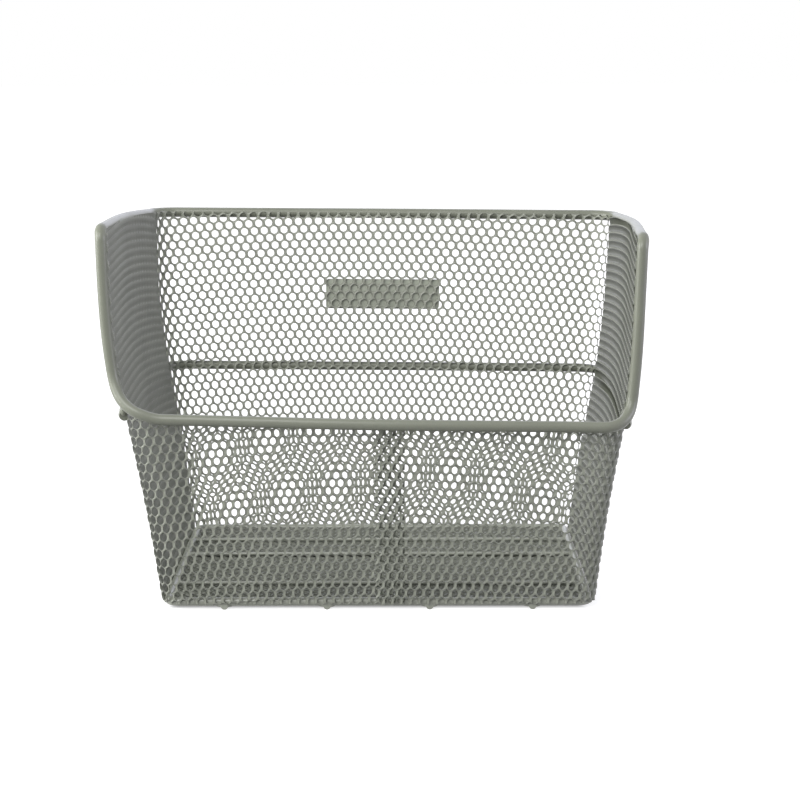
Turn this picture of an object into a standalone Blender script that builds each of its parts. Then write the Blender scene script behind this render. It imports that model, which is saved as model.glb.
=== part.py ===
"""Rear bicycle basket: bent steel wires and expanded metal, welded together and powder coated.

The basket stands on its four runner wires. +X is to the right, -Y is the low side that loads
are dropped in over, +Y is the high back wall, and +Z is up. The origin is in the middle of the
footprint, on the surface that the basket stands on. Every length is in metres.

The wall is one sheet of expanded metal, wrapped once around and lapped near the middle of the low
side. Points on it are given as (around, level): the distance around the basket from the middle
of the low side towards +X, taken at the belt's level, and the height.
"""
import math

import bmesh
import bpy
from mathutils import Matrix, Vector
from mathutils.geometry import delaunay_2d_cdt

# Stock
RIM_WIRE = 0.0090
BELT_WIRE = 0.0080
BASE_WIRE = 0.0070
RUNNER_WIRE = 0.0060
CROSS_WIRE = 0.0035
SHEET = 0.0010
PLATE_SHEET = 0.0010

# Gaps that the weld and the coating fill on the real basket
WELD_GAP = 0.0003
RING_GAP = 0.0005

# Outer face of the wall: its width and length at three levels, and its corners
BASE_WIDTH = 0.3500
KNEE_WIDTH = 0.4058
TOP_WIDTH = 0.4160
BASE_LENGTH = 0.2930
KNEE_LENGTH = 0.3234
TOP_LENGTH = 0.3234
BASE_CORNER = 0.0150
TOP_CORNER = 0.0190

# Levels
RUNNER_SHOWS = 0.0023
KNEE_LEVEL = 0.1860
LOW_RIM_LEVEL = 0.1550
BELT_ABOVE_LOW_RIM = 0.0000
TIP_LEVEL = 0.3026
BACK_LEVEL = 0.2963
WALL_BELOW_BASE_WIRE = 0.0008

# How far the walls swell outwards between their corners, at the rim, and how the rim arches
FRONT_BOW = 0.0060
SIDE_BOW = 0.0040
BACK_BOW = 0.0032
RIM_ARCH = 0.0020
KNEE_BLEND = 0.0500

# The rim wire's bends, and how far its uprights stand ahead of the side walls' straight part
FOOT_BEND = 0.0320
TIP_BEND = 0.0090
UPRIGHT_LEAD = 0.0040
SHEET_ABOVE_RIM = 0.0010
BELT_LEAD = 0.0050

# The lap where the wall sheet's two ends meet, a little right of the low side's middle
LAP = 0.0260
LAP_PLACE = 0.0110
LAP_RAMP = 0.0200
LAP_FOOT = 0.0120
LAP_FADE = 0.0400

# The openings of the expanded metal, drawn coarser than they are, at the same open share
CELL_WIDTH = 0.0410
CELL_HEIGHT = 0.0350
STRAND = 0.0080
FIRST_ROW = 0.3
SMALLEST_SHARE = 0.2
WALL_MARGIN = 0.0080
FLOOR_MARGIN = 0.0070

# Floor: the runners spread evenly between the outer two, the cross wires by their places
RUNNERS = 4
RUNNER_INSET = 0.0510
CROSS_PLACES = (-0.092, 0.017, 0.075)

# Plate on the back wall
PLATE_WIDTH = 0.1040
PLATE_HEIGHT = 0.0275
PLATE_LEVEL = 0.2220
PLATE_CORNER = 0.0030

# How finely round shapes are drawn
BEND_STEP = math.radians(15)
RUN_STEP = 0.0450
SHEET_STEP = 0.0220
CORNER_STEP = 0.0060
WIRE_RESOLUTION = 4
THIN_WIRE_RESOLUTION = 2
SMOOTH_ANGLE = math.radians(40)
FLOOR_CORNER_STEPS = 3
NUDGE = 0.0001
TINY = 1e-7

BASE_LEVEL = RUNNER_SHOWS + BASE_WIRE / 2
WALL_FOOT = BASE_LEVEL - WALL_BELOW_BASE_WIRE
SHEET_START = LAP_PLACE - LAP / 2
BELT_LEVEL = LOW_RIM_LEVEL + BELT_ABOVE_LOW_RIM
FLAT_TURN = math.pi / (4 + 2 * WIRE_RESOLUTION)
RUNNER_LEVEL = RUNNER_WIRE / 2 * math.cos(FLAT_TURN)
FLOOR_UNDERSIDE = 2 * RUNNER_LEVEL + WELD_GAP


def clear_scene():
    """Remove every object that the scene starts with."""
    for item in list(bpy.data.objects):
        bpy.data.objects.remove(item, do_unlink=True)


def coating(name, colour, roughness, metallic=0.1):
    """Powder coat in one colour, slightly metallic, as a Principled material."""
    material = bpy.data.materials.new(name)
    material.use_nodes = True
    shader = material.node_tree.nodes["Principled BSDF"]
    shader.inputs["Base Color"].default_value = (*colour, 1.0)
    shader.inputs["Roughness"].default_value = roughness
    shader.inputs["Metallic"].default_value = metallic
    return material


def finish(name, mesh, material):
    """Put a mesh into the scene as a named object, shaded smooth apart from its sharp edges."""
    mesh.shade_smooth()
    mesh.set_sharp_from_angle(angle=SMOOTH_ANGLE)
    mesh.materials.clear()
    mesh.materials.append(material)
    item = bpy.data.objects.new(name, mesh)
    bpy.context.scene.collection.objects.link(item)
    return item


def flare(level, base, knee, top):
    """A half size of the wall at a level: two straight slopes with a soft knee between them."""
    lower = (knee - base) / (KNEE_LEVEL - BASE_LEVEL)
    upper = (top - knee) / (TIP_LEVEL - KNEE_LEVEL)
    above = level - KNEE_LEVEL
    if above <= -KNEE_BLEND:
        return (knee + lower * above) / 2
    if above >= KNEE_BLEND:
        return (knee + upper * above) / 2
    share = (above + KNEE_BLEND) / (2 * KNEE_BLEND)
    return (knee + lower * above + (upper - lower) * KNEE_BLEND * share * share) / 2


def rise(level, full_level):
    """Share of the bow reached at a level, from none at the base wire to all at full_level."""
    return min(max((level - BASE_LEVEL) / (full_level - BASE_LEVEL), 0.0), 1.0)


def plan(level):
    """Half width, half length, corner radius and the three bows of the wall at a level."""
    share = rise(level, TIP_LEVEL)
    half_width = flare(level, BASE_WIDTH, KNEE_WIDTH, TOP_WIDTH)
    half_length = flare(level, BASE_LENGTH, KNEE_LENGTH, TOP_LENGTH)
    corner = BASE_CORNER + (TOP_CORNER - BASE_CORNER) * share
    front_bow = FRONT_BOW * rise(level, LOW_RIM_LEVEL)
    return half_width, half_length, corner, front_bow, SIDE_BOW * share, BACK_BOW * share


def run_lengths(level):
    """Lengths of the nine runs around the wall, from the middle of the low side."""
    half_width, half_length, corner = plan(level)[:3]
    arc = corner * math.pi / 2
    across = half_width - corner
    along = 2 * (half_length - corner)
    return [across, arc, along, arc, 2 * across, arc, along, arc, across]


RUNS = run_lengths(BELT_LEVEL)
STARTS = [sum(RUNS[:index]) for index in range(len(RUNS))]
AROUND = sum(RUNS)
RIGHT_SIDE = STARTS[2]
BACK_RIGHT = STARTS[3]
BACK_LEFT = STARTS[6]
LEFT_SIDE = STARTS[7]
CORNER_RUNS = (1, 3, 5, 7)


def bulge(bow, share):
    """Bow at a share of the way from the middle of a wall, -1 to 1, to its corners."""
    return bow * math.cos(math.pi / 2 * share) ** 2


def section_point(around, level):
    """Point of the wall's outer face, before any offset."""
    half_width, half_length, corner, front_bow, side_bow, back_bow = plan(level)
    across = half_width - corner
    along = half_length - corner
    index = 0
    while index < len(RUNS) - 1 and around > STARTS[index + 1]:
        index += 1
    share = (around - STARTS[index]) / RUNS[index]
    if index in (0, 8):
        x_share = share if index == 0 else share - 1
        return Vector((x_share * across, -half_length - bulge(front_bow, x_share), level))
    if index == 4:
        x_share = 1 - 2 * share
        return Vector((x_share * across, half_length + bulge(back_bow, x_share), level))
    if index in (2, 6):
        way = 1 if index == 2 else -1
        y_share = 2 * share - 1
        return Vector((way * (half_width + bulge(side_bow, y_share)), way * y_share * along, level))
    turn = (index - 1) / 2
    angle = (turn - 1 + share) * math.pi / 2
    centre_x = across if index in (1, 3) else -across
    centre_y = along if index in (3, 5) else -along
    return Vector((centre_x + corner * math.cos(angle), centre_y + corner * math.sin(angle), level))


def wall_point(around, level, offset=0.0):
    """Point at a distance from the wall's outer face, positive outwards."""
    sideways = section_point(around + NUDGE, level) - section_point(around - NUDGE, level)
    upwards = section_point(around, level + NUDGE) - section_point(around, level - NUDGE)
    outwards = sideways.cross(upwards).normalized()
    return section_point(around, level) + outwards * offset


def top_level(around):
    """Level of the rim wire's centre along the two side walls and the back wall."""
    if BACK_RIGHT <= around <= BACK_LEFT:
        return BACK_LEVEL
    if around < BACK_RIGHT:
        share = (around - RIGHT_SIDE) / RUNS[2]
    else:
        share = (LEFT_SIDE - around) / RUNS[6]
    share = min(max(share, 0.0), 1.0)
    return TIP_LEVEL + (BACK_LEVEL - TIP_LEVEL) * share + RIM_ARCH * 4 * share * (1 - share)


def steps_between(start, end, step):
    """Evenly spaced values from start to end, both included, no further apart than step."""
    count = max(1, math.ceil(abs(end - start) / step - TINY))
    return [start + (end - start) * index / count for index in range(count + 1)]


def around_stops(start, end, run_step, corner_step):
    """Distances around the wall with close steps on its corners and wide ones on its runs."""
    stops = [start]
    for index, length in enumerate(RUNS):
        low = max(start, STARTS[index])
        high = min(end, STARTS[index] + length)
        if high - low > NUDGE:
            step = corner_step if index in CORNER_RUNS else run_step
            stops += steps_between(low, high, step)[1:]
    if end > AROUND:
        stops.append(end)
    if start < 0.0:
        stops.insert(1, 0.0)
    return stops


def half_rim_route(grow, run_step, corner_step):
    """The rim from the middle of the low side to the middle of the back, as (around, level).

    grow moves the route outwards within the sheet: up at the rim, forwards at the upright.
    """
    upright = RIGHT_SIDE - UPRIGHT_LEAD - grow
    low = LOW_RIM_LEVEL + grow
    foot = FOOT_BEND - grow
    tip = TIP_BEND + grow
    tip_top = top_level(upright + tip) + grow
    bend_steps = math.ceil(math.pi / 2 / BEND_STEP)
    route = [(around, low) for around in around_stops(0.0, upright - foot, run_step, corner_step)]
    for index in range(1, bend_steps + 1):
        angle = math.pi / 2 * index / bend_steps
        route.append((upright - foot + foot * math.sin(angle), low + foot - foot * math.cos(angle)))
    levels = steps_between(low + foot, tip_top - tip, run_step)
    route += [(upright, level) for level in levels[1:]]
    for index in range(1, bend_steps + 1):
        angle = math.pi / 2 * index / bend_steps
        route.append((upright + tip - tip * math.cos(angle), tip_top - tip + tip * math.sin(angle)))
    stops = around_stops(upright + tip, AROUND / 2, run_step, corner_step)
    route += [(around, top_level(around) + grow) for around in stops[1:]]
    return route


def mirrored(route):
    """A half route followed by its mirror image, back to the middle of the low side."""
    return route + [(AROUND - around, level) for around, level in reversed(route[:-1])]


def wire_mesh(name, points, diameter, closed=False, resolution=WIRE_RESOLUTION, tilt=0.0):
    """Round wire along points, with flat ends unless it is closed."""
    curve = bpy.data.curves.new(name, "CURVE")
    curve.dimensions = "3D"
    curve.bevel_depth = diameter / 2
    curve.bevel_resolution = resolution
    curve.use_fill_caps = not closed
    spline = curve.splines.new("POLY")
    spline.points.add(len(points) - 1)
    for place, point in zip(spline.points, points):
        place.co = (*point, 1.0)
        place.tilt = tilt
    spline.use_cyclic_u = closed
    guide = bpy.data.objects.new(name + "_guide", curve)
    bpy.context.scene.collection.objects.link(guide)
    graph = bpy.context.evaluated_depsgraph_get()
    mesh = bpy.data.meshes.new_from_object(guide.evaluated_get(graph))
    bpy.data.objects.remove(guide, do_unlink=True)
    model = bmesh.new()
    model.from_mesh(mesh)
    bmesh.ops.remove_doubles(model, verts=model.verts, dist=TINY)
    bmesh.ops.recalc_face_normals(model, faces=model.faces)
    model.to_mesh(mesh)
    model.free()
    return mesh


def rim_wire(material):
    """The rim: one closed loop of wire, low at the front and high round the sides and back."""
    offset = RIM_WIRE / 2 + WELD_GAP
    route = mirrored(half_rim_route(0.0, RUN_STEP, CORNER_STEP))[:-1]
    points = [wall_point(around, level, offset) for around, level in route]
    return finish("rim_wire", wire_mesh("rim_wire", points, RIM_WIRE, closed=True), material)


def belt_wire(material):
    """The belt: a wire round the sides and back at the low rim's level, welded on outside."""
    offset = BELT_WIRE / 2 + WELD_GAP
    stops = around_stops(RIGHT_SIDE - BELT_LEAD, LEFT_SIDE + BELT_LEAD, RUN_STEP, CORNER_STEP)
    points = [wall_point(around, BELT_LEVEL, offset) for around in stops]
    return finish("belt_wire", wire_mesh("belt_wire", points, BELT_WIRE), material)


def rounded_rectangle(half_width, half_length, radius, bend_steps):
    """Corners of a rectangle with round corners, as (x, y), from its front right corner."""
    points = []
    for turn, (side_x, side_y) in enumerate(((1, -1), (1, 1), (-1, 1), (-1, -1))):
        for index in range(bend_steps + 1):
            angle = (turn - 1 + index / bend_steps) * math.pi / 2
            x = side_x * (half_width - radius) + radius * math.cos(angle)
            y = side_y * (half_length - radius) + radius * math.sin(angle)
            points.append((x, y))
    return points


def base_ring_points():
    """Centre line of the base wire, inside the wall's lower edge."""
    inset = SHEET + RING_GAP + BASE_WIRE / 2
    half_width, half_length, corner = plan(BASE_LEVEL)[:3]
    bend_steps = math.ceil(math.pi / 2 / BEND_STEP)
    ring = rounded_rectangle(half_width - inset, half_length - inset, corner - inset, bend_steps)
    return [Vector((x, y, BASE_LEVEL)) for x, y in ring]


def base_wire(material):
    """The base: a closed loop of wire inside the wall's foot, round the floor."""
    mesh = wire_mesh("base_wire", base_ring_points(), BASE_WIRE, closed=True)
    return finish("base_wire", mesh, material)


def ring_cutter():
    """The base wire with its gap, to notch the runners with."""
    mesh = wire_mesh("ring_cutter", base_ring_points(), BASE_WIRE + 2 * WELD_GAP, closed=True)
    cutter = bpy.data.objects.new("ring_cutter", mesh)
    bpy.context.scene.collection.objects.link(cutter)
    cutter.hide_render = True
    cutter.display_type = "WIRE"
    return cutter


def runner_places():
    """Distances of the runners from the middle of the basket, from left to right."""
    outer = BASE_WIDTH / 2 - RUNNER_INSET
    return [outer * (2 * index / (RUNNERS - 1) - 1) for index in range(RUNNERS)]


def runner_wire(name, x, cutter, material):
    """One runner: a wire under the floor, set into the base wire at both of its ends."""
    reach = BASE_LENGTH / 2 - SHEET - WELD_GAP
    ends = [Vector((x, -reach, RUNNER_LEVEL)), Vector((x, reach, RUNNER_LEVEL))]
    mesh = wire_mesh(name, ends, RUNNER_WIRE, tilt=FLAT_TURN)
    runner = finish(name, mesh, material)
    notch = runner.modifiers.new("ring_notch", "BOOLEAN")
    notch.operation = "DIFFERENCE"
    notch.object = cutter
    return runner


def cross_wire(name, y, material):
    """One cross wire: a thin wire on top of the floor sheet, from side to side."""
    level = FLOOR_UNDERSIDE + SHEET + WELD_GAP + CROSS_WIRE / 2
    reach = BASE_WIDTH / 2 - SHEET - RING_GAP - BASE_WIRE - WELD_GAP
    ends = [Vector((-reach, y, level)), Vector((reach, y, level))]
    mesh = wire_mesh(name, ends, CROSS_WIRE, resolution=THIN_WIRE_RESOLUTION)
    return finish(name, mesh, material)


def hexagon(centre_x, centre_y):
    """One opening of the expanded metal: a hexagon with a point at the top and the bottom."""
    half_wide = (CELL_WIDTH - STRAND) / 2
    point = (CELL_HEIGHT * 4 / 3 - STRAND) / 2
    shoulder = point / 2
    corners = [(0, point), (-half_wide, shoulder), (-half_wide, -shoulder)]
    corners += [(0, -point), (half_wide, -shoulder), (half_wide, shoulder)]
    return [(centre_x + x, centre_y + y) for x, y in corners]


def clipped(polygon, axis, limit, keep_below):
    """The part of a polygon below or above a limit on one axis."""
    kept = []
    for here, following in zip(polygon, polygon[1:] + polygon[:1]):
        here_in = (here[axis] <= limit) == keep_below
        following_in = (following[axis] <= limit) == keep_below
        if here_in:
            kept.append(here)
        if here_in != following_in:
            share = (limit - here[axis]) / (following[axis] - here[axis])
            kept.append(tuple(a + (b - a) * share for a, b in zip(here, following)))
    return kept


def polygon_area(polygon):
    """Area of a polygon."""
    pairs = zip(polygon, polygon[1:] + polygon[:1])
    return abs(sum(a[0] * b[1] - b[0] * a[1] for a, b in pairs)) / 2


def inside(point, polygon):
    """Whether a point lies within a polygon."""
    crossings = 0
    for a, b in zip(polygon, polygon[1:] + polygon[:1]):
        if (a[1] > point[1]) != (b[1] > point[1]):
            if point[0] < a[0] + (point[1] - a[1]) * (b[0] - a[0]) / (b[1] - a[1]):
                crossings += 1
    return crossings % 2 == 1


def openings_between(low, high, bottom, top, trim):
    """Rows of openings, cut off straight at four limits and then by trim where it must."""
    columns = max(1, round((high - low) / CELL_WIDTH))
    pitch = (high - low) / columns
    rows = math.ceil((top - bottom) / CELL_HEIGHT) + 1
    smallest = SMALLEST_SHARE * (CELL_WIDTH - STRAND) * (CELL_HEIGHT - STRAND)
    openings = []
    for row in range(rows):
        for column in range(-1, columns + 1):
            centre = low + pitch * (column + 0.5 + 0.5 * (row % 2))
            opening = hexagon(centre, bottom + CELL_HEIGHT * (row + FIRST_ROW))
            opening = clipped(opening, 0, low, False)
            opening = clipped(opening, 0, high, True)
            opening = clipped(opening, 1, bottom, False)
            opening = clipped(opening, 1, top, True)
            opening = trim(opening, centre)
            if len(opening) > 2 and polygon_area(opening) > smallest:
                openings.append(opening)
    return openings


def finely(polygon, step_at):
    """A polygon with extra points, so that no edge is longer than step_at says there."""
    points = []
    for here, following in zip(polygon, polygon[1:] + polygon[:1]):
        length = math.dist(here, following)
        count = max(1, math.ceil(length / step_at(here, following) - TINY))
        for index in range(count):
            share = index / count
            points.append(tuple(a + (b - a) * share for a, b in zip(here, following)))
    return points


def perforated_sheet(outline, openings, place):
    """Sheet metal with openings: place maps a flat point and a side, 0 or 1, to its position."""
    loops = [outline] + openings
    flat = []
    edges = []
    for loop in loops:
        first = len(flat)
        flat += [Vector(point) for point in loop]
        edges += [(first + i, first + (i + 1) % len(loop)) for i in range(len(loop))]
    flat, _, faces = delaunay_2d_cdt(flat, edges, [], 0, TINY)[:3]
    boxes = [(min(x for x, _ in hole), max(x for x, _ in hole), hole) for hole in openings]
    model = bmesh.new()
    sides = [[model.verts.new(place(point, side)) for point in flat] for side in (0, 1)]
    for face in faces:
        middle = sum((flat[i] for i in face), Vector((0.0, 0.0))) / len(face)
        if not inside(middle, outline):
            continue
        if any(low < middle.x < high and inside(middle, hole) for low, high, hole in boxes):
            continue
        model.faces.new([sides[0][i] for i in face])
        model.faces.new([sides[1][i] for i in reversed(face)])
    top_of = dict(zip(sides[0], sides[1]))
    for edge in [edge for edge in model.edges if edge.is_boundary]:
        if edge.verts[0] in top_of:
            loop = edge.link_loops[0]
            start = loop.vert
            end = loop.link_loop_next.vert
            model.faces.new([end, start, top_of[start], top_of[end]])
    loose = [vert for vert in model.verts if not vert.link_faces]
    bmesh.ops.delete(model, geom=loose, context="VERTS")
    bmesh.ops.recalc_face_normals(model, faces=model.faces)
    return model


def wall_outline():
    """Edge of the wall sheet, unrolled, from the lower corner of its start."""
    start = SHEET_START
    end = AROUND + SHEET_START + LAP
    low = LOW_RIM_LEVEL + SHEET_ABOVE_RIM
    foot = around_stops(start, end, SHEET_STEP, CORNER_STEP)
    rim = mirrored(half_rim_route(SHEET_ABOVE_RIM, SHEET_STEP, CORNER_STEP))
    outline = [(around, WALL_FOOT) for around in foot]
    outline.append((end, low))
    outline += [point for point in reversed(rim) if start < point[0] < end]
    outline.append((start, low))
    return outline


def wall_openings():
    """Openings of the wall sheet, clear of its edges, its rim and its lap."""
    band = STRAND / 2 + WALL_MARGIN
    right_edge = RIGHT_SIDE - UPRIGHT_LEAD + WALL_MARGIN
    left_edge = AROUND - right_edge

    def trim(opening, centre):
        """Cut an opening off below the rim and beside the uprights."""
        if not right_edge < centre < left_edge:
            return clipped(opening, 1, LOW_RIM_LEVEL - band, True)
        rim_level = min(top_level(centre - CELL_WIDTH / 2), top_level(centre + CELL_WIDTH / 2))
        opening = clipped(opening, 1, rim_level - band, True)
        if any(level > LOW_RIM_LEVEL - band for _, level in opening):
            opening = clipped(opening, 0, right_edge, False)
            opening = clipped(opening, 0, left_edge, True)
        return opening

    low = SHEET_START + LAP + WALL_MARGIN / 2
    high = AROUND + SHEET_START - WALL_MARGIN / 2
    return openings_between(low, high, WALL_FOOT + WALL_MARGIN, TIP_LEVEL, trim)


def wall_step(here, following):
    """Longest edge on the wall sheet there: short where the wall turns a corner."""
    for index in CORNER_RUNS:
        near = max(min(here[0], following[0]), STARTS[index])
        far = min(max(here[0], following[0]), STARTS[index] + RUNS[index])
        if far > near and abs(here[0] - following[0]) > CORNER_STEP:
            return CORNER_STEP * math.dist(here, following) / abs(here[0] - following[0])
    return RUN_STEP


def lap_offset(around, level):
    """Offset of the sheet near its ends, which lap: the start lies outside the end.

    At the rim wire, outside the wall, the end gives way inwards. At the base wire, inside the
    wall, the start gives way outwards.
    """
    foot_share = 1 - min(max((level - LAP_FOOT) / LAP_FADE, 0.0), 1.0)
    past_start = around - SHEET_START - LAP - WELD_GAP
    past_end = around - AROUND - SHEET_START + WELD_GAP
    start_share = min(max(1 - past_start / LAP_RAMP, 0.0), 1.0)
    end_share = min(max(1 + past_end / LAP_RAMP, 0.0), 1.0)
    outwards = start_share * start_share * (3 - 2 * start_share) * foot_share
    inwards = end_share * end_share * (3 - 2 * end_share) * (1 - foot_share)
    return (SHEET + WELD_GAP) * (outwards - inwards)


def wall_mesh(material):
    """The wall: one perforated sheet wrapped round the basket and lapped on the low side."""
    def place(point, side):
        """Position of a flat point on the sheet's outer face, 1, or its inner face, 0."""
        offset = 0.0 if side else -SHEET
        return wall_point(point[0], point[1], offset + lap_offset(point[0], point[1]))

    openings = [finely(opening, wall_step) for opening in wall_openings()]
    model = perforated_sheet(wall_outline(), openings, place)
    mesh = bpy.data.meshes.new("wall_mesh")
    model.to_mesh(mesh)
    model.free()
    return finish("wall_mesh", mesh, material)


def floor_mesh(material):
    """The floor: a flat perforated sheet inside the base wire, on top of the runners."""
    inset = SHEET + RING_GAP + BASE_WIRE + WELD_GAP
    half_width, half_length, corner = plan(BASE_LEVEL)[:3]
    half_width -= inset
    half_length -= inset
    radius = max(corner - inset, STRAND / 4)
    outline = rounded_rectangle(half_width, half_length, radius, FLOOR_CORNER_STEPS)
    edge_x = half_width - FLOOR_MARGIN
    edge_y = half_length - FLOOR_MARGIN
    openings = openings_between(-edge_x, edge_x, -edge_y, edge_y, lambda opening, _: opening)

    def place(point, side):
        """Position of a flat point on the sheet's upper face, 0, or its lower face, 1."""
        return Vector((point[0], point[1], FLOOR_UNDERSIDE + (0.0 if side else SHEET)))

    model = perforated_sheet(outline, openings, place)
    mesh = bpy.data.meshes.new("floor_mesh")
    model.to_mesh(mesh)
    model.free()
    return finish("floor_mesh", mesh, material)


def back_plate(material):
    """The bare plate, flat against the outside of the back wall and leaning with it."""
    middle = wall_point(AROUND / 2, PLATE_LEVEL, WELD_GAP + PLATE_SHEET / 2)
    outwards = middle - wall_point(AROUND / 2, PLATE_LEVEL)
    lean = Matrix.Rotation(math.atan2(outwards.z, outwards.y), 3, "X")
    model = bmesh.new()
    bmesh.ops.create_cube(model, size=1.0)
    bmesh.ops.scale(model, vec=(PLATE_WIDTH, PLATE_SHEET, PLATE_HEIGHT), verts=model.verts)
    across = [edge for edge in model.edges if abs(edge.verts[0].co.y - edge.verts[1].co.y) > NUDGE]
    bmesh.ops.bevel(model, geom=across, offset=PLATE_CORNER, segments=4, affect="EDGES", profile=0.5)
    bmesh.ops.rotate(model, cent=(0, 0, 0), matrix=lean, verts=model.verts)
    bmesh.ops.translate(model, vec=middle, verts=model.verts)
    mesh = bpy.data.meshes.new("back_plate")
    model.to_mesh(mesh)
    model.free()
    return finish("back_plate", mesh, material)


def build():
    """Build every piece of the basket."""
    clear_scene()
    wire_coat = coating("wire_coat", (0.25, 0.26, 0.21), 0.38)
    mesh_coat = coating("mesh_coat", (0.21, 0.22, 0.185), 0.42)
    plate_coat = coating("plate_coat", (0.24, 0.255, 0.21), 0.36)
    rim_wire(wire_coat)
    belt_wire(wire_coat)
    base_wire(wire_coat)
    cutter = ring_cutter()
    for number, x in enumerate(runner_places(), start=1):
        runner_wire(f"runner_wire_{number}", x, cutter, wire_coat)
    for number, y in enumerate(CROSS_PLACES, start=1):
        cross_wire(f"cross_wire_{number}", y, wire_coat)
    wall_mesh(mesh_coat)
    floor_mesh(mesh_coat)
    back_plate(plate_coat)


build()
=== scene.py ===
"""A rear bicycle basket of bent wires and expanded metal, powder coated, on a pale studio floor.

Lengths are in metres. +X is to the right, -Y is the low side, +Y the high back wall and +Z is up.
Places on the wall are given as (around, level): the distance around the basket from the middle of
the low side towards +X, taken at the belt's level, and the height.
"""
import logging
import math
from collections.abc import Callable, Iterator, Mapping, Sequence
from contextlib import contextmanager
from dataclasses import dataclass, field
from enum import Enum
from functools import cached_property

import bmesh
import bpy
import numpy as np
from mathutils import Matrix, Vector


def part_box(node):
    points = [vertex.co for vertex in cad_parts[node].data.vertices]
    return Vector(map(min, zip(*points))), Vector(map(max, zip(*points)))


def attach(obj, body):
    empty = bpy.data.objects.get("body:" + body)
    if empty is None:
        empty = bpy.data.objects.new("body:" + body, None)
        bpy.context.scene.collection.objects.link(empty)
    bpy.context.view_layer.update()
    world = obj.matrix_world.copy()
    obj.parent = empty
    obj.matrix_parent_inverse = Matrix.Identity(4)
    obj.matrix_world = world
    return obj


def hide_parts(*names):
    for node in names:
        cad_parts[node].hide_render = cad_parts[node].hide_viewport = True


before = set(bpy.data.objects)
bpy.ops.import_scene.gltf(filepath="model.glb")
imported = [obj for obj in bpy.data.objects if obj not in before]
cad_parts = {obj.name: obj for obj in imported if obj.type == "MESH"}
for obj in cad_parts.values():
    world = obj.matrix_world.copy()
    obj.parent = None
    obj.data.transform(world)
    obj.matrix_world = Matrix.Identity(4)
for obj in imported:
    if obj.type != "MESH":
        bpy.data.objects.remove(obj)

LOG = logging.getLogger("basket")
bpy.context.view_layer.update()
UP = Vector((0, 0, 1))
WHITE = (1.0, 1.0, 1.0)
Colour = tuple[float, float, float]
Place = tuple[float, float]
Array = np.ndarray
Piece = bpy.types.Object
Material = bpy.types.Material
Tree = bpy.types.NodeTree
Socket = bpy.types.NodeSocket


class Slot(Enum):
    """Finishes of the basket, named as in the record."""

    WIRE = "wire_coat"
    MESH = "mesh_coat"
    PLATE = "plate_coat"


class Stretch(Enum):
    """Stretches of the wall sheet, which part at the middle of each corner."""

    START = "start"
    RIGHT = "right"
    BACK = "back"
    LEFT = "left"
    END = "end"


def pick(*pieces: Piece) -> None:
    """Select these objects alone, and make the first one active.

    Args:
        *pieces: The objects that the next operators work on, or none.
    """
    bpy.ops.object.select_all(action="DESELECT")
    for piece in pieces:
        piece.select_set(True)
    if pieces:
        bpy.context.view_layer.objects.active = pieces[0]


def name_new(name: str) -> Piece:
    """Name the active object and its mesh.

    Args:
        name: The name.

    Returns:
        The object.
    """
    piece = bpy.context.object
    piece.name = name
    piece.data.name = name
    return piece


@contextmanager
def editing(piece: Piece) -> Iterator[None]:
    """Keep a piece in edit mode, with its whole mesh selected at first.

    Args:
        piece: The piece.

    Yields:
        Nothing, once the piece is in edit mode.
    """
    pick(piece)
    bpy.ops.object.mode_set(mode="EDIT")
    bpy.ops.mesh.select_all(action="SELECT")
    yield
    bpy.ops.object.mode_set(mode="OBJECT")


def select(piece: Piece, choose: Callable[[bmesh.types.BMesh], list]) -> bool:
    """Select some faces or edges of a piece in edit mode, and nothing else.

    Args:
        piece: The piece.
        choose: Lists them.

    Returns:
        Whether there are any.
    """
    bpy.ops.mesh.select_all(action="DESELECT")
    model = bmesh.from_edit_mesh(piece.data)
    chosen = choose(model)
    for part in chosen:
        part.select_set(True)
    bmesh.update_edit_mesh(piece.data)
    return bool(chosen)


def smooth(piece: Piece, degrees: float) -> None:
    """Shade a piece smooth apart from the edges that are sharper than an angle."""
    pick(piece)
    bpy.ops.object.shade_smooth_by_angle(angle=math.radians(degrees))


def join(name: str, pieces: Sequence[Piece]) -> Piece:
    """Join pieces into one object.

    Args:
        name: Name of the joined object.
        pieces: The pieces, which are used up.

    Returns:
        The joined object.
    """
    pick(*pieces)
    bpy.ops.object.join()
    return name_new(name)


def coordinates(piece: Piece) -> Array:
    """Vertex coordinates of a piece.

    Args:
        piece: The piece.

    Returns:
        One row of three for each vertex.
    """
    flat = np.empty(len(piece.data.vertices) * 3)
    piece.data.vertices.foreach_get("co", flat)
    return flat.reshape(-1, 3)


def move_vertices(piece: Piece, points: Array) -> None:
    """Put each vertex of a piece on its own row of points."""
    piece.data.vertices.foreach_set("co", points.ravel())
    piece.data.update()


def running_sum(places: Array, slope: Array) -> Array:
    """How far something has risen at each of some places, from 0 at the first, given its slope there."""
    return np.concatenate([[0.0], np.cumsum(np.diff(places) * (slope[1:] + slope[:-1]) / 2)])


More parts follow.
